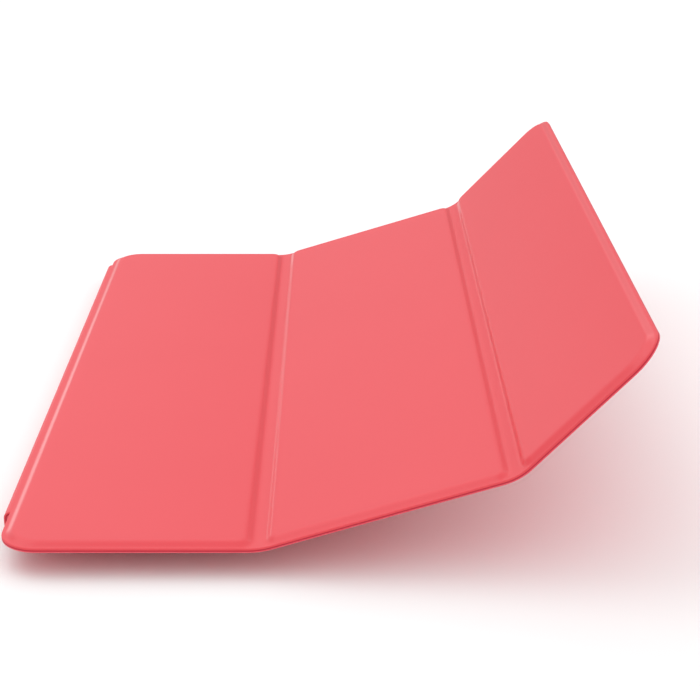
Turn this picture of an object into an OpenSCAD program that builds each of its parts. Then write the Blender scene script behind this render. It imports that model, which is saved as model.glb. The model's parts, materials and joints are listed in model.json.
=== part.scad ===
// Folding magnetic cover for a tablet: a spine that clings to the tablet's side and three stiff
// panels, joined by soft folds, that lie on the glass and roll up.
// +X runs across the glass from the spine to the free edge, +Y along the folds, +Z up off the glass.
// The origin is on the spine's inner face, half way down the tablet's side and half way along the
// cover.

/* [Panels] */
// Length of the cover, along its folds
cover_len = 240; // [200:1:290]
// From the tablet's side to the middle of the first fold
first_fold_x = 62.5; // [55:0.5:75]
// From the middle of the first fold to the middle of the second
second_panel_pitch = 63; // [55:0.5:75]
// From the middle of the second fold to the free edge
third_panel_w = 45.4; // [35:0.1:60]
// Radius of the cover's four outer corners
corner_r = 9.5; // [6:0.5:12]
// Radius of a raised field's corners beside a fold
field_corner_r = 2.75; // [1.5:0.25:4]
// Flat border round each raised field, at the front and back edges
border = 1.4; // [1:0.1:3]
// Flat border at the free edge
free_border = 1.5; // [1:0.1:3]
// Flat border at the spine side
spine_border = 1.8; // [1:0.1:3]

/* [Layers] */
// Thickness of the soft lining that faces the glass
lining_t = 0.4; // [0.3:0.05:0.6]
// Thickness of the bonding web between lining and skin
web_t = 0.25; // [0.2:0.05:0.3]
// Thickness of the outer skin
skin_t = 0.5; // [0.4:0.05:0.7]
// Thickness of the stiffening board in a panel
board_t = 1.1; // [0.8:0.05:1.4]

/* [Folds] */
// Distance between the two bend lines of a fold
bend_gap = 2.4; // [2.2:0.1:3]
// Width of the flat strip between two raised fields
strip_w = 4.8; // [4.2:0.1:5]
// Angle that the first fold is bent by
first_fold_angle = 17; // [0:1:40]
// Angle that the second fold is bent by
second_fold_angle = 29; // [0:1:50]

/* [Spine] */
// Length of the spine and of its hinge flap
spine_len = 207; // [180:1:220]
// How far the spine's middle lies behind the cover's middle
spine_offset = 3.7; // [0:0.1:6]
// Height of the spine on the tablet's side
spine_h = 4.7; // [4:0.1:5]
// Thickness of the spine over its magnets
spine_t = 2.1; // [2:0.05:2.4]
// Length of that thick part
spine_core_len = 196; // [190:1:198]
// Height of its top, above the middle of the tablet's side
spine_core_top = 0.7; // [0.3:0.1:1.5]
// Radius of the spine's two lower corners
spine_end_r = 3.8; // [2:0.1:3.9]
// Slope of the hinge flap where it rounds the tablet's edge
flap_angle = 45; // [40:1:50]

/* [Magnets] */
// Number of magnets in the spine
spine_magnets = 6; // [2:2:8]
// Size of a spine magnet along the spine and across it
spine_magnet = [18, 1.7]; // [1:0.1:20]
// Number of magnets along the free edge
clasp_magnets = 14; // [2:2:14]
// Size of a free-edge magnet across the panel and along the edge
clasp_magnet = [4, 10]; // [3:0.5:11]
// Radius of the round magnet that wakes the tablet
wake_magnet_r = 3; // [2:0.5:4]

/* [Tablet] */
// Thickness of the tablet that the cover fits
tablet_t = 6.1; // [5.9:0.1:7.5]

/* [Hidden] */
$fn = 48;
stack_t = lining_t + web_t + skin_t;
bend_r = stack_t / 2;
// Heights in a panel's own frame, whose zero is the plane that its bend lines lie in
web_z = -bend_r + lining_t;
skin_z = web_z + web_t;
// A panel's flat end stands this far back from its bend line
end_setback = 0.7;
half_len = cover_len / 2;
glass_z = tablet_t / 2;
glass_gap = 0.05;
bend_z = glass_z + glass_gap + bend_r;
field_setback = strip_w / 2 - bend_gap / 2;
board_wall = skin_t;
// Bend lines of the spine's flap: one above the tablet's edge, one beside it
flap_w = 0.884;
flap_top_x = -0.225;
flap_foot_x = flap_top_x - flap_w * cos(flap_angle);
flap_foot_z = bend_z - flap_w * sin(flap_angle);
// Bend lines of the folds, along each panel's own plane
first_bend_x = first_fold_x - bend_gap / 2;
second_panel_w = second_panel_pitch - bend_gap;
third_panel_end = third_panel_w - bend_gap / 2;
first_panel_start = flap_top_x + end_setback;
// Spine core, inside the pocket in the thick part of the spine's skin
spine_wall = 0.5;
spine_core_r = 1.2;
spine_core_t = spine_t - stack_t;
keeper_t = 0.25;
spine_magnet_t = spine_core_t - keeper_t;
spine_magnet_pitch = 34;
// Height of the magnets' middle, half way up the thick part
spine_magnet_z = (spine_core_top - spine_h / 2) / 2;
clasp_pitch = 15;
steel_t = 0.3;
steel_w = 8;
steel_len = 200;
steel_inset = 5;
clasp_inset = 2;
wake_place = [24, 72];

SKIN = [0.95, 0.46, 0.48];
LINING = [0.93, 0.38, 0.42];
WEB = [0.74, 0.13, 0.22];
BOARD = [0.86, 0.85, 0.78];
MAGNET = [0.80, 0.81, 0.83];
STEEL = [0.62, 0.63, 0.65];
CARRIER = [0.93, 0.93, 0.92];

// Places: each panel and fold is drawn flat from its own first bend line, then swung into place
module at_panel_1() {
    translate([0, 0, bend_z]) children();
}
module at_fold_1() {
    translate([first_bend_x, 0, bend_z]) rotate([0, -first_fold_angle / 2, 0]) children();
}
module at_panel_2() {
    at_fold_1() translate([bend_gap, 0, 0]) rotate([0, -first_fold_angle / 2, 0]) children();
}
module at_fold_2() {
    at_panel_2() translate([second_panel_w, 0, 0]) rotate([0, -second_fold_angle / 2, 0]) children();
}
module at_panel_3() {
    at_fold_2() translate([bend_gap, 0, 0]) rotate([0, -second_fold_angle / 2, 0]) children();
}
module at_flap() {
    translate([flap_foot_x, spine_offset, flap_foot_z]) rotate([0, -flap_angle, 0]) children();
}
// Turns a flat shape to stand against the tablet's side, thickening outwards from the inner face
module at_spine(depth) {
    translate([-depth, spine_offset, 0]) rotate([0, -90, 0]) children();
}

// Flat outline from x0 to x1, with corner radius r0 at the x0 side and r1 at the x1 side
module outline(x0, x1, half_y, r0, r1) {
    translate([x0 + r0, -half_y]) square([x1 - x0 - r0 - r1, 2 * half_y]);
    if (r0 > 0) {
        translate([x0, r0 - half_y]) square([r0, 2 * (half_y - r0)]);
        for (side = [-1, 1]) translate([x0 + r0, side * (half_y - r0)]) circle(r0);
    }
    if (r1 > 0) {
        translate([x1 - r1, r1 - half_y]) square([r1, 2 * (half_y - r1)]);
        for (side = [-1, 1]) translate([x1 - r1, side * (half_y - r1)]) circle(r1);
    }
}

// Outlines of the panels: edge is the whole panel, inset moves the raised field's sides inwards
module panel_1_edge() outline(first_panel_start, first_bend_x - end_setback, half_len, corner_r, 0);
module panel_2_edge() outline(end_setback, second_panel_w - end_setback, half_len, 0, 0);
module panel_3_edge() outline(end_setback, third_panel_end, half_len, 0, corner_r);
module panel_1_field(inset) outline(
    first_panel_start + spine_border + inset, first_bend_x - field_setback - inset,
    half_len - border - inset, corner_r - border - inset, field_corner_r - inset);
module panel_2_field(inset) outline(
    field_setback + inset, second_panel_w - field_setback - inset,
    half_len - border - inset, field_corner_r - inset, field_corner_r - inset);
module panel_3_field(inset) outline(
    field_setback + inset, third_panel_end - free_border - inset,
    half_len - border - inset, field_corner_r - inset, corner_r - border - inset);

// Skin of a panel: the flat border, the raised field and the pocket for the board.
// Its first child is the panel's edge outline, the second the field, the third the board.
module raised_skin() {
    color(SKIN) difference() {
        union() {
            translate([0, 0, skin_z]) linear_extrude(skin_t) children(0);
            translate([0, 0, skin_z]) linear_extrude(skin_t + board_t) children(1);
        }
        translate([0, 0, skin_z]) linear_extrude(board_t) children(2);
    }
}
module flat_lining() {
    color(LINING) translate([0, 0, -bend_r]) linear_extrude(lining_t) children();
}
module flat_web() {
    color(WEB) translate([0, 0, web_z]) linear_extrude(web_t) children();
}
module board_sheet() {
    translate([0, 0, skin_z]) linear_extrude(board_t) children();
}

// One layer of a soft strip with round edges, between the heights z0 and z1
module strip_layer(gap, len, z0, z1) {
    translate([0, len / 2, 0]) rotate([90, 0, 0]) linear_extrude(len) intersection() {
        union() {
            circle(bend_r);
            translate([gap, 0]) circle(bend_r);
            translate([0, -bend_r]) square([gap, stack_t]);
        }
        translate([-bend_r, z0]) square([gap + stack_t, z1 - z0]);
    }
}
module strip_skin(gap, len) {
    color(SKIN) strip_layer(gap, len, skin_z, bend_r);
}
module strip_web(gap, len) {
    color(WEB) strip_layer(gap, len, web_z, skin_z);
}
module strip_lining(gap, len) {
    color(LINING) strip_layer(gap, len, -bend_r, web_z);
}

// Magnet rows
module spine_magnet_blocks(height) {
    for (i = [0 : spine_magnets - 1]) {
        magnet_y = (i - (spine_magnets - 1) / 2) * spine_magnet_pitch - spine_magnet[0] / 2;
        translate([spine_magnet_z - spine_magnet[1] / 2, magnet_y, 0])
            cube([spine_magnet[1], spine_magnet[0], height]);
    }
}
module clasp_blocks() {
    clasp_x = third_panel_end - free_border - board_wall - clasp_inset - clasp_magnet[0];
    for (i = [0 : clasp_magnets - 1])
        translate([clasp_x, (i - (clasp_magnets - 1) / 2) * clasp_pitch - clasp_magnet[1] / 2, skin_z])
            cube([clasp_magnet[0], clasp_magnet[1], board_t]);
}
module wake_disc() {
    translate([wake_place[0], wake_place[1], skin_z]) cylinder(r = wake_magnet_r, h = board_t);
}
module steel_sheet() {
    translate([first_panel_start + spine_border + steel_inset, -steel_len / 2, skin_z + board_t - steel_t])
        cube([steel_w, steel_len, steel_t]);
}

// Outline of the spine: rounded at its two lower corners, cut square where it meets the flap
module spine_edge() {
    intersection() {
        outline(-spine_h / 2, spine_h, spine_len / 2, spine_end_r, 0);
        translate([-spine_h / 2, -spine_len / 2]) square([spine_h, spine_len]);
    }
}
// Outline of its thick part, whose sides inset moves inwards
module spine_core(inset) outline(
    -spine_h / 2 + inset, spine_core_top - inset,
    spine_core_len / 2 - inset, spine_core_r - inset, spine_core_r - inset);
module spine_lining() {
    color(LINING) at_spine(0) linear_extrude(lining_t) spine_edge();
}
module spine_web() {
    color(WEB) at_spine(lining_t) linear_extrude(web_t) spine_edge();
}
module spine_carrier() {
    color(CARRIER) at_spine(lining_t + web_t) difference() {
        linear_extrude(spine_magnet_t) spine_core(spine_wall);
        spine_magnet_blocks(spine_magnet_t);
    }
}
module spine_magnet_row() {
    color(MAGNET) at_spine(lining_t + web_t) spine_magnet_blocks(spine_magnet_t);
}
module spine_keeper() {
    color(STEEL) at_spine(lining_t + web_t + spine_magnet_t)
        linear_extrude(keeper_t) spine_core(spine_wall);
}
module spine_skin() {
    color(SKIN) at_spine(lining_t + web_t) difference() {
        union() {
            linear_extrude(skin_t) spine_edge();
            linear_extrude(spine_core_t + skin_t) spine_core(0);
        }
        linear_extrude(spine_core_t) spine_core(spine_wall);
    }
}

// Flap that rounds the tablet's edge between the spine and the first panel
module flap_skin() {
    at_flap() strip_skin(flap_w, spine_len);
}
module flap_web() {
    at_flap() strip_web(flap_w, spine_len);
}
module flap_lining() {
    at_flap() strip_lining(flap_w, spine_len);
}

// First panel, which lies on the glass
module panel_1_skin() {
    at_panel_1() raised_skin() {
        panel_1_edge();
        panel_1_field(0);
        panel_1_field(board_wall);
    }
}
module panel_1_web() {
    at_panel_1() flat_web() panel_1_edge();
}
module panel_1_lining() {
    at_panel_1() flat_lining() panel_1_edge();
}
module panel_1_board() {
    color(BOARD) at_panel_1() difference() {
        board_sheet() panel_1_field(board_wall);
        steel_sheet();
    }
}
module panel_1_steel() {
    color(STEEL) at_panel_1() steel_sheet();
}

// First fold
module fold_1_skin() {
    at_fold_1() strip_skin(bend_gap, cover_len);
}
module fold_1_web() {
    at_fold_1() strip_web(bend_gap, cover_len);
}
module fold_1_lining() {
    at_fold_1() strip_lining(bend_gap, cover_len);
}

// Second panel
module panel_2_skin() {
    at_panel_2() raised_skin() {
        panel_2_edge();
        panel_2_field(0);
        panel_2_field(board_wall);
    }
}
module panel_2_web() {
    at_panel_2() flat_web() panel_2_edge();
}
module panel_2_lining() {
    at_panel_2() flat_lining() panel_2_edge();
}
module panel_2_board() {
    color(BOARD) at_panel_2() board_sheet() panel_2_field(board_wall);
}

// Second fold
module fold_2_skin() {
    at_fold_2() strip_skin(bend_gap, cover_len);
}
module fold_2_web() {
    at_fold_2() strip_web(bend_gap, cover_len);
}
module fold_2_lining() {
    at_fold_2() strip_lining(bend_gap, cover_len);
}

// Third panel, with the magnets that hold the free edge
module panel_3_skin() {
    at_panel_3() raised_skin() {
        panel_3_edge();
        panel_3_field(0);
        panel_3_field(board_wall);
    }
}
module panel_3_web() {
    at_panel_3() flat_web() panel_3_edge();
}
module panel_3_lining() {
    at_panel_3() flat_lining() panel_3_edge();
}
module panel_3_board() {
    color(BOARD) at_panel_3() difference() {
        board_sheet() panel_3_field(board_wall);
        clasp_blocks();
        wake_disc();
    }
}
module clasp_magnet_row() {
    color(MAGNET) at_panel_3() clasp_blocks();
}
module wake_magnet() {
    color(MAGNET) at_panel_3() wake_disc();
}

spine_skin();
spine_web();
spine_carrier();
spine_keeper();
spine_magnet_row();
spine_lining();
flap_skin();
flap_web();
flap_lining();
panel_1_skin();
panel_1_web();
panel_1_lining();
panel_1_board();
panel_1_steel();
fold_1_skin();
fold_1_web();
fold_1_lining();
panel_2_skin();
panel_2_web();
panel_2_lining();
panel_2_board();
fold_2_skin();
fold_2_web();
fold_2_lining();
panel_3_skin();
panel_3_web();
panel_3_lining();
panel_3_board();
clasp_magnet_row();
wake_magnet();
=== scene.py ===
"""Looks of a folding magnetic tablet cover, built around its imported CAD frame.

The cover is one laminate: a polyurethane skin, a thin bonding web and a microfibre lining. Each
layer is made here as closed solids that follow one smooth line, bent through the folds. The line,
the thicknesses and the sizes of the raised fields all come from the frame.
"""

import json
import math

import bpy
import numpy as np
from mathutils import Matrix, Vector


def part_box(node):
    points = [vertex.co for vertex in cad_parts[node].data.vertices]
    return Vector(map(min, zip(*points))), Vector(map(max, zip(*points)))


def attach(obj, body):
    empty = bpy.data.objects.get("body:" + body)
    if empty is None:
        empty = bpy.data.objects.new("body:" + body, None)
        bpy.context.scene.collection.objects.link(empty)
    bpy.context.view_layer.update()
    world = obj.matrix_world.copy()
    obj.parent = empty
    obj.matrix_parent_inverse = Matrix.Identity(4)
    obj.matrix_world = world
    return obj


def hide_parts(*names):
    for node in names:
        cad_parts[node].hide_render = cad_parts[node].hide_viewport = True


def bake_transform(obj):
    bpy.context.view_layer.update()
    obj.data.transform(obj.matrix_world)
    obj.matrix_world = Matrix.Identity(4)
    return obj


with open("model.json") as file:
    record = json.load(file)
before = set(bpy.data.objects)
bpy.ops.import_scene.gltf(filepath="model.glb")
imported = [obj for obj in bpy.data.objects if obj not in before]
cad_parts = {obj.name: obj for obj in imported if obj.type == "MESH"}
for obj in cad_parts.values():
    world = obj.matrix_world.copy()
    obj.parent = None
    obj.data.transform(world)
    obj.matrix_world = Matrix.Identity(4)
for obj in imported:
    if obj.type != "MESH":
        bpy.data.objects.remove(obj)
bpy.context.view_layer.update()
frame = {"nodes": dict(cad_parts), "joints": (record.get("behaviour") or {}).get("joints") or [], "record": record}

MM = 0.001


# ---------------------------------------------------------------- sizes, read from the frame

def flat(point):
    """A point's place in the plane across the folds: x and z, in millimetres."""
    return np.array([point[0], point[2]]) / MM


def node_points(node):
    """A CAD node's vertices in millimetres."""
    return np.array([v.co for v in frame["nodes"][node].data.vertices]) / MM


def reach(node, origin, angle):
    """How far a node reaches along and across a line in the plane across the folds."""
    points = node_points(node)[:, [0, 2]] - origin
    along = points @ np.array([math.cos(angle), math.sin(angle)])
    across = points @ np.array([-math.sin(angle), math.cos(angle)])
    return along.min(), along.max(), across.min(), across.max()


def direction(a, b):
    return math.atan2(b[1] - a[1], b[0] - a[0])


PIVOT = {j["name"]: flat(j["pos_m"]) for j in frame["joints"]}
FLAP_FOOT, FLAP_TOP = PIVOT["spine_fold"], PIVOT["spine_fold_upper"]
FOLD_1_IN, FOLD_1_OUT = PIVOT["first_fold"], PIVOT["first_fold_outer"]
FOLD_2_IN, FOLD_2_OUT = PIVOT["second_fold"], PIVOT["second_fold_outer"]

PANEL_2_ANGLE = direction(FOLD_1_OUT, FOLD_2_IN)
FOLD_2_TURN = 2 * (direction(FOLD_2_IN, FOLD_2_OUT) - PANEL_2_ANGLE)
PANEL_3_ANGLE = PANEL_2_ANGLE + FOLD_2_TURN

# Heights above the bend lines' own plane: the underside, the two faces between layers, the top
LINING_LOW, LINING_TOP = reach("panel_1_lining", FLAP_TOP, 0)[2:]
SKIN_LOW, FIELD_TOP = reach("panel_1_skin", FLAP_TOP, 0)[2:]
SKIN_TOP = reach("fold_1_skin", FOLD_1_IN, PANEL_2_ANGLE / 2)[3]
BOARD_T = FIELD_TOP - SKIN_TOP

COVER_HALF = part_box("panel_1_lining")[1].y / MM
TAB_FRONT, TAB_BACK = (corner.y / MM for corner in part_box("spine_lining"))
TAB_MIDDLE = (TAB_FRONT + TAB_BACK) / 2
TAB_HALF = (TAB_BACK - TAB_FRONT) / 2
PANEL_1_START, PANEL_1_END = reach("panel_1_lining", np.zeros(2), 0)[:2]
PANEL_2_START, PANEL_2_END = reach("panel_2_lining", FOLD_1_OUT, PANEL_2_ANGLE)[:2]
PANEL_3_START, PANEL_3_END = reach("panel_3_lining", FOLD_2_OUT, PANEL_3_ANGLE)[:2]
SPINE_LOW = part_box("spine_lining")[0].z / MM
SPINE_CORE_T = (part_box("spine_web")[0].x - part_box("spine_keeper")[0].x) / MM

CORNER_R = 9.5         # the cover's four outer corners
FLAP_LEAD = 0.6        # the spine's piece ends this far before the flap's curve starts
TAB_CORNER_R = 3.8     # the spine's two lower corners
FIELD_CORNER_R = 2.75  # a raised field's corners beside a fold
BOARD_WALL = 0.5       # skin beside a board's edge
CORE_CORNER_R = 0.7    # the corners of the spine's core
CORE_SWELL = 0.6       # the spine's skin swells over this width, all outside its core
STEP = 1.0             # half the width of the soft step round a raised field
STEP_TAIL = 1.8        # its gentler half spreads this many times wider
POCKET_INSET = 0.26    # the skin's pocket starts this far inside its raised field
POCKET_STEP = 0.2      # half the width of the pocket's own step
TOP_ROUND = 0.28       # rounding of the skin's cut edge
LINING_ROUND = 0.16    # rounding of the lining's cut edge
LINING_RECESS = 0.03   # the lining's cut edge lies this far inside the skin's
LINING_SINK = 0.06     # the lining sinks this much between the boards
SINK_OUTSIDE = 0.3     # it is fully sunk this far outside a raised field
SINK_WIDTH = 1.2       # and it sinks over this width
WEB_SWELL = 0.1        # the web stands this far up into the skin
WEB_RECESS = 0.02      # the web's cut edge lies this far inside the skin's
BEND_1_HALF = 3.0      # a bend starts this far before its two panels' lines would cross
BEND_2_HALF = 3.8      # the same for the second fold


# ---------------------------------------------------------------- the line that the laminate follows

class Line:
    """A line across the folds made of straight stretches and arcs, with its length as parameter."""

    def __init__(self, start, angle):
        self.pieces = []
        self.place = np.array(start, float)
        self.angle = angle
        self.length = 0.0

    def add(self, length, turn=0.0):
        """Goes on by length while turning by turn, and returns where along the line that ends."""
        self.pieces.append((self.length, length, self.place.copy(), self.angle, turn))
        self.place, self.angle = (x[0] for x in self._move(np.array([length]), *self.pieces[-1][1:]))
        self.length += length
        return self.length

    @staticmethod
    def _move(distance, length, place, angle, turn):
        now = angle + turn * distance / length
        if abs(turn) < 1e-9:
            step = distance[:, None] * np.array([math.cos(angle), math.sin(angle)])
        else:
            radius = length / turn
            step = radius * np.column_stack([np.sin(now) - math.sin(angle), math.cos(angle) - np.cos(now)])
        return place + step, now

    def at(self, s):
        """Points on the line and its angles there, for an array of distances along it."""
        points = np.zeros((len(s), 2))
        angles = np.zeros(len(s))
        for k, (start, *piece) in enumerate(self.pieces):
            chosen = s >= start - 1e-9 if k else np.ones(len(s), bool)
            points[chosen], angles[chosen] = self._move(s[chosen] - start, *piece)
        return points, angles

    def lay(self, s, w):
        """Points that lie w above the line at distances s along it."""
        points, angles = self.at(s)
        return points + w[:, None] * np.column_stack([-np.sin(angles), np.cos(angles)])


def crossing(pivot_in, pivot_out, turn):
    """Distance from a fold's inner pivot to where the lines of its two panels cross."""
    return np.linalg.norm(pivot_out - pivot_in) / 2 / math.cos(turn / 2)


def arc_length(turn, tangent):
    return turn * tangent / math.tan(turn / 2)


SPINE_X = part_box("spine_lining")[1].x / MM + LINING_LOW
FLAP_R = PANEL_1_START - SPINE_X
CROSS_1 = crossing(FOLD_1_IN, FOLD_1_OUT, PANEL_2_ANGLE)
CROSS_2 = crossing(FOLD_2_IN, FOLD_2_OUT, FOLD_2_TURN)

line = Line((SPINE_X, SPINE_LOW), math.pi / 2)
S_TAB = line.add(FLAP_TOP[1] - FLAP_R - SPINE_LOW) - FLAP_LEAD
S_FLAP_MID = line.add(FLAP_R * math.pi / 4, -math.pi / 4)
S_PANEL_1 = line.add(FLAP_R * math.pi / 4, -math.pi / 4)
line.add(FOLD_1_IN[0] + CROSS_1 - BEND_1_HALF - PANEL_1_START)
S_FOLD_1 = S_PANEL_1 + PANEL_1_END - PANEL_1_START
S_FOLD_1_MID = line.add(arc_length(PANEL_2_ANGLE, BEND_1_HALF) / 2, PANEL_2_ANGLE / 2)
line.add(arc_length(PANEL_2_ANGLE, BEND_1_HALF) / 2, PANEL_2_ANGLE / 2)
S_PIVOT_1_OUT = line.length - BEND_1_HALF + CROSS_1
S_PANEL_2 = S_PIVOT_1_OUT + PANEL_2_START
S_FOLD_2 = S_PIVOT_1_OUT + PANEL_2_END
line.add(np.linalg.norm(FOLD_2_IN - FOLD_1_OUT) + CROSS_1 + CROSS_2 - BEND_1_HALF - BEND_2_HALF)
S_FOLD_2_MID = line.add(arc_length(FOLD_2_TURN, BEND_2_HALF) / 2, FOLD_2_TURN / 2)
line.add(arc_length(FOLD_2_TURN, BEND_2_HALF) / 2, FOLD_2_TURN / 2)
S_PIVOT_2_OUT = line.length - BEND_2_HALF + CROSS_2
S_PANEL_3 = S_PIVOT_2_OUT + PANEL_3_START
S_END = line.add(PANEL_3_END + CROSS_2 - BEND_2_HALF)


# ---------------------------------------------------------------- shapes as heights over a flat plan

def smooth(t):
    t = np.clip(t, 0, 1)
    return t * t * (3 - 2 * t)


def inside(s, y, s0, s1, half, r0, r1):
    """Distance inside an outline with corner radius r0 at its s0 end and r1 at its s1 end."""
    middle = (s0 + s1) / 2
    r = np.where(s < middle, r0, r1)
    qs = np.abs(s - middle) - (s1 - s0) / 2 + r
    qy = np.abs(y) - half + r
    outer = np.hypot(np.maximum(qs, 0), np.maximum(qy, 0))
    return r - outer - np.minimum(np.maximum(qs, qy), 0)


FAR = 1000.0  # an end that is out of reach
FIELD_OUTER_R = CORNER_R - COVER_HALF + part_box("panel_1_board")[1].y / MM + BOARD_WALL


def edge_distance(s, y):
    """Distance from the laminate's free edges, over the tab and over the panels."""
    from_middle = np.abs(y - TAB_MIDDLE)
    on_tab = inside(s, from_middle, 0, FAR, TAB_HALF, TAB_CORNER_R, 0.01)
    on_cover = inside(s, y, S_PANEL_1, S_END, COVER_HALF, CORNER_R, CORNER_R)
    sides_only = inside(s, y, S_PANEL_1 - FAR, S_END, COVER_HALF, CORNER_R, CORNER_R)
    notch = np.hypot(s - S_PANEL_1, TAB_HALF - from_middle)
    joined = from_middle < TAB_HALF
    on_cover = np.where(joined, np.minimum(sides_only, notch), on_cover)
    return np.where(s < S_PANEL_1 - 1e-6, on_tab, on_cover)


def field_of(node, origin, angle, s_origin):
    """A raised field's outline along the line, and its half length, from the board inside it."""
    low, high = reach(node, origin, angle)[:2]
    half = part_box(node)[1].y / MM + BOARD_WALL
    return s_origin + low - BOARD_WALL, s_origin + high + BOARD_WALL, half


FIELDS = [
    (*field_of("panel_1_board", np.array([PANEL_1_START, 0]), 0, S_PANEL_1), FIELD_OUTER_R, FIELD_CORNER_R),
    (*field_of("panel_2_board", FOLD_1_OUT, PANEL_2_ANGLE, S_PIVOT_1_OUT), FIELD_CORNER_R, FIELD_CORNER_R),
    (*field_of("panel_3_board", FOLD_2_OUT, PANEL_3_ANGLE, S_PIVOT_2_OUT), FIELD_CORNER_R, FIELD_OUTER_R),
]
CORE_LOW, CORE_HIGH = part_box("spine_keeper")
CORE_HALF = (CORE_HIGH.y - CORE_LOW.y) / 2 / MM
CORE = (CORE_LOW.z / MM - SPINE_LOW, CORE_HIGH.z / MM - SPINE_LOW, CORE_HALF, CORE_CORNER_R, CORE_CORNER_R)


def field_distance(s, y):
    return np.max([inside(s, y, *field) for field in FIELDS], axis=0)


def raised(s, y, step_inside, half_width):
    """Height that the boards and the spine's core add.

    The boards' steps have their middle this far inside the raised fields.
    """
    into = field_distance(s, y) - step_inside
    board = smooth((into + half_width) / 2 / half_width) / 2
    board = board + smooth((into + STEP_TAIL * half_width) / 2 / STEP_TAIL / half_width) / 2
    core = smooth((inside(s, y - TAB_MIDDLE, *CORE) + CORE_SWELL) / CORE_SWELL)
    return BOARD_T * board + SPINE_CORE_T * core


def rounding(s, y, radius):
    """How far a rounded edge drops near the free edges."""
    d = np.clip(edge_distance(s, y), 0, radius)
    return radius - np.sqrt(radius ** 2 - (radius - d) ** 2)


def skin_top(s, y):
    return SKIN_TOP + raised(s, y, 0, STEP) - rounding(s, y, TOP_ROUND)


def skin_low(s, y):
    return SKIN_LOW + WEB_SWELL + raised(s, y, POCKET_INSET, POCKET_STEP)


def level(height):
    """A flat face at one height."""
    return lambda s, y: np.full(len(s), height)


def lining_low(s, y):
    """The lining sinks a little between the boards, and its cut edge is rounded."""
    sunk = LINING_SINK * (1 - smooth((field_distance(s, y) + SINK_OUTSIDE) / SINK_WIDTH))
    sunk = np.where(s < S_TAB, 0, sunk)
    return LINING_LOW + sunk + rounding(s, y, LINING_ROUND)


def relief(s, y):
    """How much of a raised field's soft step lies here, from 0 on flat skin to 1 at its middle."""
    t = np.clip((field_distance(s, y) + STEP) / 2 / STEP, 0, 1)
    return 4 * t * (1 - t)


# ---------------------------------------------------------------- plan lines and solids

ROUND_STEPS = TOP_ROUND * (1 - np.cos(np.linspace(0, math.pi / 2, 6)))
EDGE_LINES = np.concatenate([
    ROUND_STEPS,
    np.linspace(0.36, 3.0, 26),
    np.linspace(3.3, 5.8, 9),
    np.linspace(6.3, CORNER_R, 6),
])
PLAIN_EDGE_LINES = np.concatenate([ROUND_STEPS, [0.6, 1.5, 2.5, 4, 6, 8], [CORNER_R]])


def both_sides(half, distances, middle):
    """Lines from -half to half: at these distances from each edge, and a few between."""
    inner = half - distances[-1]
    between = np.linspace(-inner, inner, middle)[1:-1]
    return np.unique(np.round(np.concatenate([-half + distances, between, half - distances]), 5))


def cover_rows(recess, detailed, near_tab):
    """Plan lines along y for the panels and folds."""
    distances = EDGE_LINES if detailed else PLAIN_EDGE_LINES
    rows = both_sides(COVER_HALF - recess, distances, 9)
    if near_tab:
        rounds = np.concatenate([-ROUND_STEPS, ROUND_STEPS])
        rows = np.unique(np.round(np.concatenate([rows, TAB_FRONT + rounds, TAB_BACK + rounds]), 5))
    return rows


def beside_fold(detailed):
    """Distances from a fold at which a panel's plan lines lie."""
    if not detailed:
        return np.array([0, 0.5, 2, 6])
    return np.concatenate([[0, 0.03], np.linspace(0.06, 0.8, 10), np.linspace(1.0, 3.9, 13)])


def round_corner(s, y, centre_s, centre_y, radius, side, middle=0.0):
    """Bends the square plan lines of a corner block into concentric arcs."""
    a = side * (s - centre_s)
    b = np.abs(y - middle) - centre_y
    block = (a > 1e-6) & (b > 1e-6)
    ring = np.maximum(a, b)
    angle = np.where(a >= b, b / np.maximum(a, 1e-9), 2 - a / np.maximum(b, 1e-9)) * math.pi / 4
    new_s = centre_s + side * ring * np.cos(angle)
    new_y = middle + np.sign(y - middle) * (centre_y + ring * np.sin(angle))
    return np.where(block, new_s, s), np.where(block, new_y, y)


def solid(name, columns, rows, top, low, corners=()):
    """A closed solid over a plan: the area between two heights, bent along the line."""
    s, y = (g.ravel() for g in np.meshgrid(columns, rows, indexing="ij"))
    for corner in corners:
        s, y = round_corner(s, y, *corner)
    ends = []
    for height in (top, low):
        xz = line.lay(s, height(s, y))
        ends.append(np.column_stack([xz[:, 0], y, xz[:, 1]]))
    n, m = len(columns), len(rows)
    number = np.arange(n * m).reshape(n, m)
    quads = np.stack([number[:-1, :-1], number[1:, :-1], number[1:, 1:], number[:-1, 1:]], -1).reshape(-1, 4)
    border = np.concatenate([number[:, 0], number[-1, 1:], number[-2::-1, -1], number[0, -2:0:-1]])
    after = np.roll(border, -1)
    walls = np.column_stack([border, border + n * m, after + n * m, after])
    faces = np.concatenate([quads, quads[:, ::-1] + n * m, walls])
    mesh = bpy.data.meshes.new(name)
    mesh.from_pydata((np.concatenate(ends) * MM).tolist(), [], faces.tolist())
    mesh.validate()
    amount = mesh.attributes.new("relief", "FLOAT", "POINT")
    amount.data.foreach_set("value", np.tile(relief(s, y), 2))
    mesh.shade_smooth()
    mesh.set_sharp_from_angle(angle=math.radians(40))
    obj = bpy.data.objects.new(name, mesh)
    bpy.context.scene.collection.objects.link(obj)
    return obj


# ---------------------------------------------------------------- materials

def material(name):
    mat = bpy.data.materials.new(name)
    mat.use_nodes = True
    nodes = mat.node_tree.nodes
    return mat, nodes, mat.node_tree.links, nodes["Principled BSDF"]


def noise(nodes, links, where, scale, detail=3.0):
    tex = nodes.new("ShaderNodeTexNoise")
    tex.inputs["Scale"].default_value = scale
    tex.inputs["Detail"].default_value = detail
    links.new(where, tex.inputs["Vector"])
    return tex.outputs["Fac"]


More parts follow.
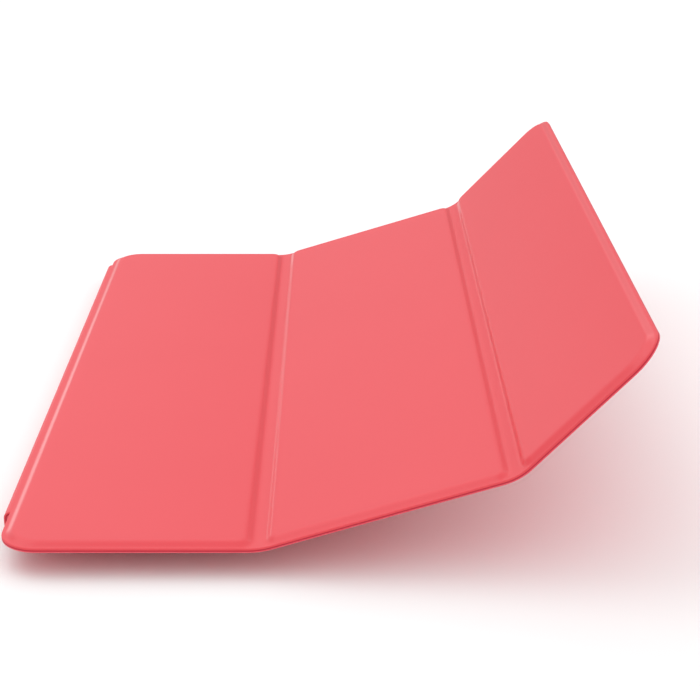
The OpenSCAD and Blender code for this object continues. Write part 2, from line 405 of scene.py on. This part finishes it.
def span(nodes, links, value, low, high, start=0):
    """Maps a value that runs from start to 1 to low to high."""
    node = nodes.new("ShaderNodeMapRange")
    node.inputs["From Min"].default_value = start
    node.inputs["To Min"].default_value = low
    node.inputs["To Max"].default_value = high
    links.new(value, node.inputs["Value"])
    return node.outputs["Result"]


def mixed(nodes, links, value, a, b):
    node = nodes.new("ShaderNodeMix")
    node.data_type = "RGBA"
    node.inputs[6].default_value = (*a, 1)
    node.inputs[7].default_value = (*b, 1)
    links.new(value, node.inputs[0])
    return node.outputs[2]


def bump(nodes, links, height, strength, distance, before=None):
    node = nodes.new("ShaderNodeBump")
    node.inputs["Strength"].default_value = strength
    node.inputs["Distance"].default_value = distance
    links.new(height, node.inputs["Height"])
    if before is not None:
        links.new(before, node.inputs["Normal"])
    return node.outputs["Normal"]


def skin_material():
    """Polyurethane with a very fine grain, drawn smooth and a little glossier over the steps."""
    mat, nodes, links, shader = material("coral_polyurethane")
    where = nodes.new("ShaderNodeTexCoord").outputs["Object"]
    tone = noise(nodes, links, where, 22, 2)
    colour = mixed(nodes, links, tone, (0.740, 0.047, 0.063), (0.765, 0.052, 0.069))
    links.new(colour, shader.inputs["Base Color"])
    grain = nodes.new("ShaderNodeTexVoronoi")
    grain.inputs["Scale"].default_value = 2600
    links.new(where, grain.inputs["Vector"])
    fine = noise(nodes, links, where, 5200, 2)
    stretched = nodes.new("ShaderNodeAttribute")
    stretched.attribute_name = "relief"
    links.new(span(nodes, links, stretched.outputs["Fac"], 0.48, 0.28), shader.inputs["Roughness"])
    normal = bump(nodes, links, grain.outputs["Distance"], 0.1, 0.00004)
    links.new(bump(nodes, links, fine, 0.08, 0.00003, normal), shader.inputs["Normal"])
    shader.inputs["Specular IOR Level"].default_value = 0.5
    return mat


def lining_material():
    """Brushed microfibre: short soft nap with cloudy brushing."""
    mat, nodes, links, shader = material("coral_microfibre")
    where = nodes.new("ShaderNodeTexCoord").outputs["Object"]
    cloud = noise(nodes, links, where, 90, 4)
    nap = noise(nodes, links, where, 3800, 5)
    colour = mixed(nodes, links, cloud, (0.74, 0.085, 0.115), (0.86, 0.135, 0.165))
    links.new(colour, shader.inputs["Base Color"])
    normal = bump(nodes, links, nap, 0.5, 0.0001)
    links.new(bump(nodes, links, cloud, 0.15, 0.0004, normal), shader.inputs["Normal"])
    shader.inputs["Roughness"].default_value = 0.95
    shader.inputs["Sheen Weight"].default_value = 0.35
    shader.inputs["Sheen Roughness"].default_value = 0.45
    shader.inputs["Specular IOR Level"].default_value = 0.2
    return mat


def web_and_gap_shade_material():
    """Dense crimson web, coloured dark: its thin line along a cut edge is partly the web and partly painted shade
    of the gap between skin and lining.
    """
    mat, nodes, links, shader = material("crimson_web")
    where = nodes.new("ShaderNodeTexCoord").outputs["Object"]
    fibre = noise(nodes, links, where, 2400, 4)
    # Painted shade: this dark crimson also copies the shaded gap between skin and lining at a cut edge.
    colour = mixed(nodes, links, fibre, (0.46, 0.008, 0.028), (0.56, 0.013, 0.038))
    links.new(colour, shader.inputs["Base Color"])
    links.new(bump(nodes, links, fibre, 0.3, 0.00005), shader.inputs["Normal"])
    shader.inputs["Roughness"].default_value = 0.8
    return mat


def board_material():
    """Glass-fibre laminate: pale resin over a plain weave."""
    mat, nodes, links, shader = material("glass_fibre_board")
    where = nodes.new("ShaderNodeTexCoord").outputs["Object"]
    cloud = noise(nodes, links, where, 60, 3)
    weave = nodes.new("ShaderNodeTexWave")
    weave.inputs["Scale"].default_value = 500
    weave.inputs["Distortion"].default_value = 0.6
    links.new(where, weave.inputs["Vector"])
    colour = mixed(nodes, links, cloud, (0.72, 0.70, 0.58), (0.82, 0.80, 0.70))
    links.new(colour, shader.inputs["Base Color"])
    links.new(bump(nodes, links, weave.outputs["Fac"], 0.3, 0.00005), shader.inputs["Normal"])
    shader.inputs["Roughness"].default_value = 0.55
    return mat


def metal_material(name, tint, roughness):
    """Plated or rolled metal with fine lengthwise streaks."""
    mat, nodes, links, shader = material(name)
    where = nodes.new("ShaderNodeTexCoord").outputs["Object"]
    stretch = nodes.new("ShaderNodeMapping")
    stretch.inputs["Scale"].default_value = (1, 0.04, 1)
    links.new(where, stretch.inputs["Vector"])
    streak = noise(nodes, links, stretch.outputs["Vector"], 4000, 3)
    links.new(span(nodes, links, streak, roughness - 0.08, roughness + 0.08), shader.inputs["Roughness"])
    links.new(bump(nodes, links, streak, 0.1, 0.00002), shader.inputs["Normal"])
    shader.inputs["Base Color"].default_value = (*tint, 1)
    shader.inputs["Metallic"].default_value = 1
    return mat


def carrier_material():
    """Moulded white plastic."""
    mat, nodes, links, shader = material("moulded_carrier")
    where = nodes.new("ShaderNodeTexCoord").outputs["Object"]
    spark = noise(nodes, links, where, 1800, 3)
    colour = mixed(nodes, links, spark, (0.80, 0.80, 0.78), (0.86, 0.86, 0.85))
    links.new(colour, shader.inputs["Base Color"])
    links.new(bump(nodes, links, spark, 0.15, 0.00005), shader.inputs["Normal"])
    shader.inputs["Roughness"].default_value = 0.5
    return mat


LAYER_MATERIAL = {"skin": skin_material(), "lining": lining_material(), "web": web_and_gap_shade_material()}
INNER_MATERIAL = {
    "board": board_material(),
    "carrier": carrier_material(),
    "magnet": metal_material("nickel_plating", (0.74, 0.74, 0.72), 0.22),
    "steel": metal_material("rolled_steel", (0.56, 0.57, 0.58), 0.36),
}
SLOT_OF = {part["node"]: part["material_slot"] for part in frame["record"]["subparts"]}
for node, obj in frame["nodes"].items():
    if SLOT_OF[node] in INNER_MATERIAL:
        obj.data.materials.clear()
        obj.data.materials.append(INNER_MATERIAL[SLOT_OF[node]])


# ---------------------------------------------------------------- the laminate's pieces

# Each layer: how far its cut edges lie inside the outline, its heights, and whether it has relief
LAYERS = {
    "skin": (0.0, skin_top, skin_low, True),
    "web": (WEB_RECESS, level(SKIN_LOW + WEB_SWELL), level(LINING_TOP), False),
    "lining": (LINING_RECESS, level(LINING_TOP), lining_low, True),
}


def finish_piece(obj, layer, nodes):
    obj.data.materials.append(LAYER_MATERIAL[layer])
    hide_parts(*nodes)


def columns_between(s0, s1, low, high):
    """Plan lines across a panel, from distances inside each end and one line between."""
    return np.unique(np.round(np.concatenate([s0 + low, [(s0 + s1) / 2], s1 - high]), 5))


def spine_piece(layer):
    recess, top, low = LAYERS[layer][:3]
    edge = np.concatenate([ROUND_STEPS, np.linspace(0.36, TAB_CORNER_R, 15)])
    columns = np.concatenate([recess + edge, np.linspace(TAB_CORNER_R + recess, S_TAB, 9)[1:]])
    swell = CORE[2] + np.linspace(-0.1, CORE_SWELL, 8)
    rows = both_sides(TAB_HALF - recess, edge, 9)
    rows = np.unique(np.concatenate([rows, -swell, swell])) + TAB_MIDDLE
    corner = (TAB_CORNER_R + recess, TAB_HALF - recess - TAB_CORNER_R, TAB_CORNER_R, -1, TAB_MIDDLE)
    obj = solid("spine_" + layer + "_shell", columns, rows, top, low, [corner])
    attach(obj, "spine")
    finish_piece(obj, layer, ["spine_" + layer])


def panel_piece(layer, number, s0, s1):
    recess, top, low, detailed = LAYERS[layer]
    edge = EDGE_LINES if detailed else PLAIN_EDGE_LINES
    fold = beside_fold(detailed)
    centre_y = COVER_HALF - CORNER_R
    radius = CORNER_R - recess
    corners = []
    if number == 1:
        columns = columns_between(s0 + recess, s1, edge * (CORNER_R - recess) / CORNER_R, fold)
        corners.append((s0 + CORNER_R, centre_y, radius, -1))
    elif number == 3:
        columns = columns_between(s0, s1 - recess, fold, edge * (CORNER_R - recess) / CORNER_R)
        corners.append((s1 - CORNER_R, centre_y, radius, 1))
    else:
        columns = columns_between(s0, s1, fold, fold)
    rows = cover_rows(recess, detailed, number == 1)
    body = f"panel_{number}"
    obj = solid(f"{body}_{layer}_shell", columns, rows, top, low, corners)
    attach(obj, body)
    finish_piece(obj, layer, [f"{body}_{layer}"])


def bend_piece(layer, name, node, s0, s1, bodies, pivot, rows_of):
    """Half of a bend, between the body before it and the body after it; it is not attached to either and stays
    where it is built.
    """
    recess, top, low, detailed = LAYERS[layer]
    obj = solid(name, np.linspace(s0, s1, 13), rows_of(recess, detailed), top, low)
    finish_piece(obj, layer, [node])
    (p0, p1), (a0, a1) = line.at(np.array([s0, s1]))
    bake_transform(obj)


def tab_rows(recess, detailed):
    """Plan lines along y for the flap, the same whether detailed or not."""
    steps = np.concatenate([ROUND_STEPS, np.linspace(0.5, TAB_CORNER_R, 5)])
    return both_sides(TAB_HALF - recess, steps, 9) + TAB_MIDDLE


def fold_rows(recess, detailed):
    return cover_rows(recess, detailed, False)


# Every bend piece: its name and node, where it starts and ends, its two bodies and their joint
BENDS = [
    ("flap_{}_lower", "flap_{}", S_TAB, S_FLAP_MID, ("spine", "flap"), FLAP_FOOT, tab_rows),
    ("flap_{}_upper", "flap_{}", S_FLAP_MID, S_PANEL_1, ("flap", "panel_1"), FLAP_TOP, tab_rows),
    ("fold_1_{}_inner", "fold_1_{}", S_FOLD_1, S_FOLD_1_MID, ("panel_1", "fold_1"), FOLD_1_IN, fold_rows),
    ("fold_1_{}_outer", "fold_1_{}", S_FOLD_1_MID, S_PANEL_2, ("fold_1", "panel_2"), FOLD_1_OUT, fold_rows),
    ("fold_2_{}_inner", "fold_2_{}", S_FOLD_2, S_FOLD_2_MID, ("panel_2", "fold_2"), FOLD_2_IN, fold_rows),
    ("fold_2_{}_outer", "fold_2_{}", S_FOLD_2_MID, S_PANEL_3, ("fold_2", "panel_3"), FOLD_2_OUT, fold_rows),
]
for layer in LAYERS:
    spine_piece(layer)
    panel_piece(layer, 1, S_PANEL_1, S_FOLD_1)
    panel_piece(layer, 2, S_PANEL_2, S_FOLD_2)
    panel_piece(layer, 3, S_PANEL_3, S_END)
    for name, node, *rest in BENDS:
        bend_piece(layer, name.format(layer), node.format(layer), *rest)


# ---------------------------------------------------------------- floor, light and camera

def floor():
    """The surface that the tablet under the cover would lie on, just below its other face."""
    half = 6.0
    height = -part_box("panel_1_lining")[0].z - 0.1 * MM
    corners = [(-half, -half, height), (half, -half, height), (half, half, height), (-half, half, height)]
    mesh = bpy.data.meshes.new("floor")
    mesh.from_pydata(corners, [], [(0, 1, 2, 3)])
    obj = bpy.data.objects.new("floor", mesh)
    bpy.context.scene.collection.objects.link(obj)
    mat, nodes, links, shader = material("pale_floor")
    shader.inputs["Base Color"].default_value = (0.93, 0.93, 0.93, 1)
    shader.inputs["Roughness"].default_value = 0.9
    mesh.materials.append(mat)


def area_light(name, place, target, size, watts):
    data = bpy.data.lights.new(name, "AREA")
    data.energy = watts
    data.size = size
    obj = bpy.data.objects.new(name, data)
    obj.location = place
    obj.rotation_euler = (Vector(target) - Vector(place)).to_track_quat("-Z", "Y").to_euler()
    bpy.context.scene.collection.objects.link(obj)


# Soft round patches of the sky behind the cover: direction, inner and outer radius in degrees, strength
SKY = [
    ((-0.12, 0.86, 0.50), 6, 19, 2.0),
    ((-0.46, 0.89, 0.00), 5, 12, 2.8),
    ((0.12, 0.97, 0.20), 12, 20, 0.35),
    ((-0.19, 0.98, 0.07), 5, 12, 0.35),
]


def patch(nodes, links, towards, middle, near, far, strength):
    """A soft round patch of the sky: a factor that is strength at its middle and 1 outside it."""
    along = nodes.new("ShaderNodeVectorMath")
    along.operation = "DOT_PRODUCT"
    along.inputs[1].default_value = Vector(middle).normalized()
    links.new(towards, along.inputs[0])
    fade = nodes.new("ShaderNodeMapRange")
    fade.inputs["From Min"].default_value = math.cos(math.radians(far))
    fade.inputs["From Max"].default_value = math.cos(math.radians(near))
    fade.inputs["To Min"].default_value = 1
    fade.inputs["To Max"].default_value = strength
    links.new(along.outputs["Value"], fade.inputs["Value"])
    return fade.outputs["Result"]


def product(nodes, links, one, other):
    node = nodes.new("ShaderNodeMath")
    node.operation = "MULTIPLY"
    links.new(one, node.inputs[0])
    links.new(other, node.inputs[1])
    return node.outputs["Value"]


def light():
    """A white room, brightest overhead, with the sky's patches and one large soft light."""
    world = bpy.data.worlds.new("studio")
    world.use_nodes = True
    nodes, links = world.node_tree.nodes, world.node_tree.links
    towards = nodes.new("ShaderNodeTexCoord").outputs["Generated"]
    side = nodes.new("ShaderNodeVectorMath")
    side.operation = "DOT_PRODUCT"
    side.inputs[1].default_value = (0.27, 0.14, 0.95)
    links.new(towards, side.inputs[0])
    strength = span(nodes, links, side.outputs["Value"], 0.465, 1.175, -1)
    for spot in SKY:
        strength = product(nodes, links, strength, patch(nodes, links, towards, *spot))
    nodes["Background"].inputs["Color"].default_value = (1, 1, 1, 1)
    links.new(strength, nodes["Background"].inputs["Strength"])
    bpy.context.scene.world = world
    area_light("key", (-0.55, 0.25, 1.1), (0.08, 0, 0.02), 0.9, 2.5)
    bpy.context.scene.view_settings.view_transform = "Standard"


def camera():
    """Looks across the glass from the front edge, a little above it."""
    data = bpy.data.cameras.new("camera")
    data.sensor_width = 36
    data.lens = 90
    data.shift_x = 0.0172
    obj = bpy.data.objects.new("camera", data)
    obj.location = (0.0809, -0.4899, 0.1868)
    obj.rotation_euler = (math.radians(90 - 19.78), 0, 0)
    bpy.context.scene.collection.objects.link(obj)
    bpy.context.scene.camera = obj


floor()
light()
camera()
